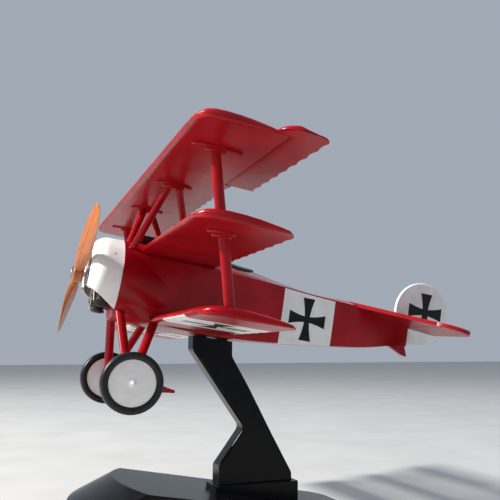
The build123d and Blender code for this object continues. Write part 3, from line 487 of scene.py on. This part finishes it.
def make_aileron(side):
    """Horn-balanced aileron: thin at the back, rounded at the horn, scalloped along the trailing edge."""
    half, count = UPPER["half"], 100
    xs = [AILERON_IN + (half - AILERON_IN) * i / count for i in range(count + 1)]
    xs += [half + d for d in HORN_STEPS]
    verts, ring_len = [], 2 * len(AILERON_V)
    for x in xs:
        horn = smoothstep(half, half + HORN_BLEND, x)
        out = max(0.0, min(1.0, (x - half) / (AILERON_TIP - half)))
        front = HINGE_Y * (1 - horn) + horn * (HORN_Y + 3.6 * (1 - sqrt(max(0.0, 1 - out ** 2.4))))
        back_round = max(0.0, (x - (AILERON_TIP - TIP_ROUND)) / TIP_ROUND)
        back = AILERON_TE - 3.4 * (1 - sqrt(max(0.0, 1 - back_round ** 2.6)))
        if back < front + 0.05:
            front = back = (front + back) / 2
        thick = AILERON_THICK + HORN_THICKER * horn
        fade = sqrt(max(0.0, 1 - max(0.0, (x - (AILERON_TIP - TIP_FADE)) / TIP_FADE) ** 2))
        rib = abs(sin(pi * (x - AILERON_IN) / RIB_PITCH))
        row = []
        for v in AILERON_V:
            y = front + (back - front) * v - SCALLOP * rib * smoothstep(0.75, 1.0, v) * (1 - back_round)
            nose = min(1.0, sqrt(max(0.0, v / 0.15)))
            height = thick * (1 - v) + AILERON_TE_THICK * v - 0.12 * rib * v * (1 - v)
            height *= 0.35 + 0.65 * nose
            row.append((y, 0.15 * thick * (1 - nose), height * (0.25 + 0.75 * fade)))
        verts += [(side * x, y, UPPER["z0"] + high) for y, _, high in row]
        verts += [(side * x, y, UPPER["z0"] + low) for y, low, _ in reversed(row)]
    rows = len(xs)
    faces = grid_faces(rows, ring_len, close_cols=True)
    faces.append(tuple(range(ring_len)))
    faces.append(tuple(range((rows - 1) * ring_len, rows * ring_len)))
    name = "left" if side > 0 else "right"
    obj = sharpen(new_object(f"{name}_aileron_skin", verts, faces, MAT["red_upper"], "aircraft"), 50)
    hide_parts(f"{name}_aileron")


make_aileron(1)
make_aileron(-1)

# ------------------------------------------------------------------ propeller
# radius, chord, thickness, pitch in degrees
BLADE = ((0.0, 1.8, 1.5, 60), (1.4, 1.9, 1.45, 58), (3.0, 2.3, 1.3, 52), (5.5, 3.2, 1.1, 42),
         (8.5, 3.9, 0.9, 34), (11.5, 4.25, 0.75, 28), (14.5, 4.2, 0.62, 24), (17.0, 3.8, 0.5, 21),
         (18.6, 3.2, 0.42, 19), (19.5, 2.7, 0.36, 18), (19.85, 2.0, 0.30, 18), (20.0, 0.9, 0.2, 18))
BLADE_RING, BLADE_EASE = 28, 4          # points round a section, and sections between two stations
HUB_PROFILE = ((-0.95, 0.56), (-0.95, 1.45), (-0.9, 1.62), (-0.75, 1.75), (0.75, 1.75), (0.9, 1.62),
               (0.95, 1.45), (0.95, 0.56))
PROP_AT = AIR @ Matrix.Translation((0, PROP_Y, 0)) @ Matrix.Rotation(PROP_TURN, 4, "Y")


def blade_mesh():
    """Both blades, each a run of lens-shaped sections eased between the stations."""
    verts, faces = [], []
    for way in (1, -1):
        start, rows = len(verts), 0
        for a, b in zip(BLADE, BLADE[1:]):
            for k in range(BLADE_EASE):
                r, chord, thick, pitch = (a[i] + (b[i] - a[i]) * k / BLADE_EASE for i in range(4))
                p = radians(pitch)
                rows += 1
                for j in range(BLADE_RING):
                    q = 2 * pi * j / BLADE_RING
                    u, w = chord / 2 * cos(q), thick / 2 * sin(q) * (1 - 0.25 * cos(q))
                    x, y = u * cos(p) - w * sin(p), u * sin(p) + w * cos(p)
                    verts.append((way * x, y, way * r))
        faces += grid_faces(rows, BLADE_RING, close_cols=True, start=start)
        faces.append(tuple(range(start + (rows - 1) * BLADE_RING, start + rows * BLADE_RING)))
    return verts, faces


blades = new_object("propeller_blades", *blade_mesh(), MAT["prop"], "propeller", at=PROP_AT)
hub_mesh = lathe(HUB_PROFILE, steps=64)
hub = sharpen(new_object("propeller_hub", *hub_mesh, MAT["prop"], "propeller", at=PROP_AT))
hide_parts("propeller")

# ------------------------------------------------------------------ wheel discs
# (along the axle, radius); along grows outboard
BORE_R, POINT = 0.66, 0.0001
OUTER_FACE = ((0.75, 4.25), (0.78, 4.1), (0.92, 3.4), (1.05, 2.6), (1.16, 1.7), (1.22, 1.1), (1.24, 0.85),
              (1.34, 0.72), (1.42, 0.45), (1.60, 0.32), (1.78, 0.16), (1.82, POINT))
INNER_FACE = ((0.6, POINT), (0.6, BORE_R), (-1.9, BORE_R), (-1.9, 1.0), (-1.2, 1.15), (-1.1, 1.5),
              (-0.75, 4.1), (-0.7, 4.25), (0.75, 4.25))
BOSS_PROFILE = ((-1.86, BORE_R + 0.01), (-2.0, BORE_R + 0.05), (-2.02, 0.95), (-1.9, 1.08), (-1.15, 1.22))
RIVETS, RIVET_CIRCLE_R, RIVET_R, RIVET_STEPS = 9, 1.28, 0.10, 10
RIVET_DOME = ((1.0, 1.17), (0.8, 1.235), (0.4, 1.265))      # share of the rivet's radius, and how far along


def make_wheel_disc(side):
    """Shallow cones back to back, with a hub cap, a ring of rivets and a red boss on the inner side."""
    name = "left" if side > 0 else "right"
    verts, faces = lathe([(a * side, r) for a, r in OUTER_FACE], axis="X")
    inner_verts, inner_faces = lathe([(a * side, r) for a, r in INNER_FACE], axis="X")
    faces += [tuple(i + len(verts) for i in f) for f in inner_faces]
    verts += inner_verts
    for k in range(RIVETS):
        a, start = 2 * pi * k / RIVETS, len(verts)
        cy, cz = RIVET_CIRCLE_R * cos(a), RIVET_CIRCLE_R * sin(a)
        for share, lift in RIVET_DOME:
            for j in range(RIVET_STEPS):
                b = 2 * pi * j / RIVET_STEPS
                verts.append((side * lift, cy + RIVET_R * share * cos(b), cz + RIVET_R * share * sin(b)))
        faces += grid_faces(len(RIVET_DOME), RIVET_STEPS, close_cols=True, start=start)
        faces.append(tuple(range(len(verts) - RIVET_STEPS, len(verts))))
    at = AIR @ Matrix.Translation((side * WHEEL_AT[0], WHEEL_AT[1], WHEEL_AT[2]))
    body = "port_wheel" if side > 0 else "starboard_wheel"
    disc = sharpen(new_object(f"{name}_wheel_disc_skin", verts, faces, MAT["white"], body, at=at), 50)
    boss_mesh = lathe([(a * side, r) for a, r in BOSS_PROFILE], axis="X", steps=48)
    boss = sharpen(new_object(f"{name}_wheel_boss", *boss_mesh, MAT["red"], body, at=at))
    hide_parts(f"{name}_wheel_disc")


make_wheel_disc(1)
make_wheel_disc(-1)

# ------------------------------------------------------------------ cowling and nose fairings
COWL_R, LIP, FRONT, BACK, WALL = 8.25, 3.0, -1.8, 3.9, 0.6
CUT_Z, CUT_SLOPE = -1.9, 0.63           # the slanting cut that leaves a horseshoe
COWL_STEPS, LIP_STEP = 140, 6


def cut_height(y):
    """Height of the cowling's slanting lower edge at a station."""
    return CUT_Z - (y - FRONT + 1) * CUT_SLOPE


def make_cowling():
    """Points and faces of the cowling's shell, rolled over at the front and open below."""
    centre_y, centre_r = FRONT + LIP, COWL_R - LIP              # the lip's own centre
    profile = [(BACK, COWL_R)]
    profile += [(centre_y + (BACK - FRONT - LIP) * k / 4, COWL_R - 0.05) for k in (3, 2, 1, 0)]
    profile += [(centre_y - LIP * sin(radians(a)), centre_r + (LIP - 0.05) * cos(radians(a)))
                for a in range(LIP_STEP, 91, LIP_STEP)]
    profile += [(FRONT + 0.05, centre_r - 0.35), (FRONT + 0.3, centre_r - 0.5)]
    profile += [(FRONT + 0.55, centre_r - 0.4)]
    profile += [(centre_y - (LIP - WALL) * sin(radians(a)), centre_r + (LIP - WALL) * cos(radians(a)))
                for a in range(84, 5, -LIP_STEP)]
    profile += [(BACK, COWL_R - WALL)]
    verts = []
    for along, r in profile:
        start = asin(max(-1.0, cut_height(along) / r))
        for k in range(COWL_STEPS + 1):
            a = start + (pi - 2 * start) * k / COWL_STEPS
            verts.append((r * cos(a), along, r * sin(a)))
    n = COWL_STEPS + 1
    faces = grid_faces(len(profile), n, close_rows=True)
    faces.append(tuple(i * n for i in range(len(profile))))
    faces.append(tuple(i * n + COWL_STEPS for i in range(len(profile))))
    return verts, faces


# (height, station) of the curved edge in which the fairing meets the flat side
ARC = ((8.4, 4.5), (6.4, 6.9), (5.0, 8.6), (3.4, 10.6), (1.1, 13.2), (-1.5, 14.8), (-4.0, 15.4), (-9.0, 15.4))
FAIRING_LOW, FAIRING_SWEEP, FAIRING_ROWS, FAIRING_COLS = -50, 92, 40, 44        # degrees, and grid steps
FAIRING_FRONT, FAIRING_R, FAIRING_HEIGHT_R = 3.92, 8.22, 8.2
FLAT_HALF, FLAT_MID_Z = 6.0, -1.5       # half-width of the flat side, and where it is widest
FAIRING_SKIN = 0.25 * MM


def arc_rear(z):
    """Station at which the rounded nose fairing meets the flat side, for a height."""
    for (z1, y1), (z0, y0) in zip(ARC, ARC[1:]):
        if z >= z0:
            return y0 + (y1 - y0) * (min(z, z1) - z0) / (z1 - z0)
    return ARC[-1][1]


def make_nose_fairing(side):
    """The swollen side behind the cowling, which ends in a curved edge on the flat side."""
    verts = []
    for i in range(FAIRING_ROWS + 1):
        a = radians(FAIRING_LOW + FAIRING_SWEEP * i / FAIRING_ROWS)
        z = FAIRING_HEIGHT_R * sin(a)
        flat = FLAT_HALF - 0.02 * (z - FLAT_MID_Z) ** 2 * (0.55 if z > FLAT_MID_Z else 0.8)
        bulge = max(0.0, FAIRING_R * cos(a) - flat)
        for j in range(FAIRING_COLS + 1):
            t = j / FAIRING_COLS
            y = FAIRING_FRONT + (arc_rear(z) - FAIRING_FRONT) * t
            x = flat + bulge * (1 - t ** 1.7) + 0.10 * (1 - t) - 0.05 * t
            verts.append((side * x, y, z))
    faces = grid_faces(FAIRING_ROWS + 1, FAIRING_COLS + 1)
    name = ("left" if side > 0 else "right") + "_nose_fairing"
    return new_object(name, verts, faces, MAT["red"], "aircraft")


for side in (1, -1):
    fairing = make_nose_fairing(side)
    thick = fairing.modifiers.new("skin", "SOLIDIFY")
    thick.thickness, thick.offset = FAIRING_SKIN, -1

cowl = sharpen(new_object("cowling_shell", *make_cowling(), MAT["white_cowl"], "aircraft"), 40)
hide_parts("cowling")

# ------------------------------------------------------------------ floor, light and camera
FLOOR = 2.0                             # half the floor's side, metres
floor_mesh = bpy.data.meshes.new("floor")
floor_mesh.from_pydata([(-FLOOR, -FLOOR, 0), (FLOOR, -FLOOR, 0), (FLOOR, FLOOR, 0), (-FLOOR, FLOOR, 0)], [],
                       [(0, 1, 2, 3)])
floor = bpy.data.objects.new("floor", floor_mesh)
bpy.context.scene.collection.objects.link(floor)
floor_shader = Shader("pale_floor")
floor_shader.set(Base_Color=floor_shader.ramp(floor_shader.noise(0.05, 4), (0.3, (0.50, 0.50, 0.49)),
                                              (0.7, (0.56, 0.56, 0.55))), Roughness=0.6)
floor_mesh.materials.append(floor_shader.mat)

SKY, SKY_STRENGTH = (0.72, 0.80, 0.92, 1), 0.50
world = bpy.data.worlds.new("studio")
bpy.context.scene.world = world
world.use_nodes = True
world.node_tree.nodes["Background"].inputs["Color"].default_value = SKY
world.node_tree.nodes["Background"].inputs["Strength"].default_value = SKY_STRENGTH
bpy.context.scene.view_settings.view_transform = "Standard"


def area_light(name, at, target, size, power, colour):
    """A square lamp at a point in metres, turned towards its target."""
    data = bpy.data.lights.new(name, "AREA")
    data.size, data.energy, data.color = size, power, colour
    lamp = bpy.data.objects.new(name, data)
    lamp.location = at
    lamp.rotation_euler = (Vector(target) - Vector(at)).to_track_quat("-Z", "Y").to_euler()
    bpy.context.scene.collection.objects.link(lamp)


area_light("key", (-0.04, -0.62, 0.52), (0, 0, 0.045), 0.06, 12.0, (1.0, 0.96, 0.90))
area_light("rim", (-0.3, 0.35, 0.5), (0, 0, 0.05), 0.3, 0.5, (0.8, 0.88, 1.0))

cam = bpy.data.cameras.new("camera")
cam.sensor_width, cam.lens = 36.0, 50.25
cam.shift_x, cam.shift_y = -0.1222, 0.0583
cam.clip_start = 0.005
camera = bpy.data.objects.new("camera", cam)
bpy.context.scene.collection.objects.link(camera)
camera.location = (144.67 * MM, -44.44 * MM, 38.09 * MM)
camera.rotation_euler = (radians(95.906), 0, radians(65.68))
bpy.context.scene.camera = camera
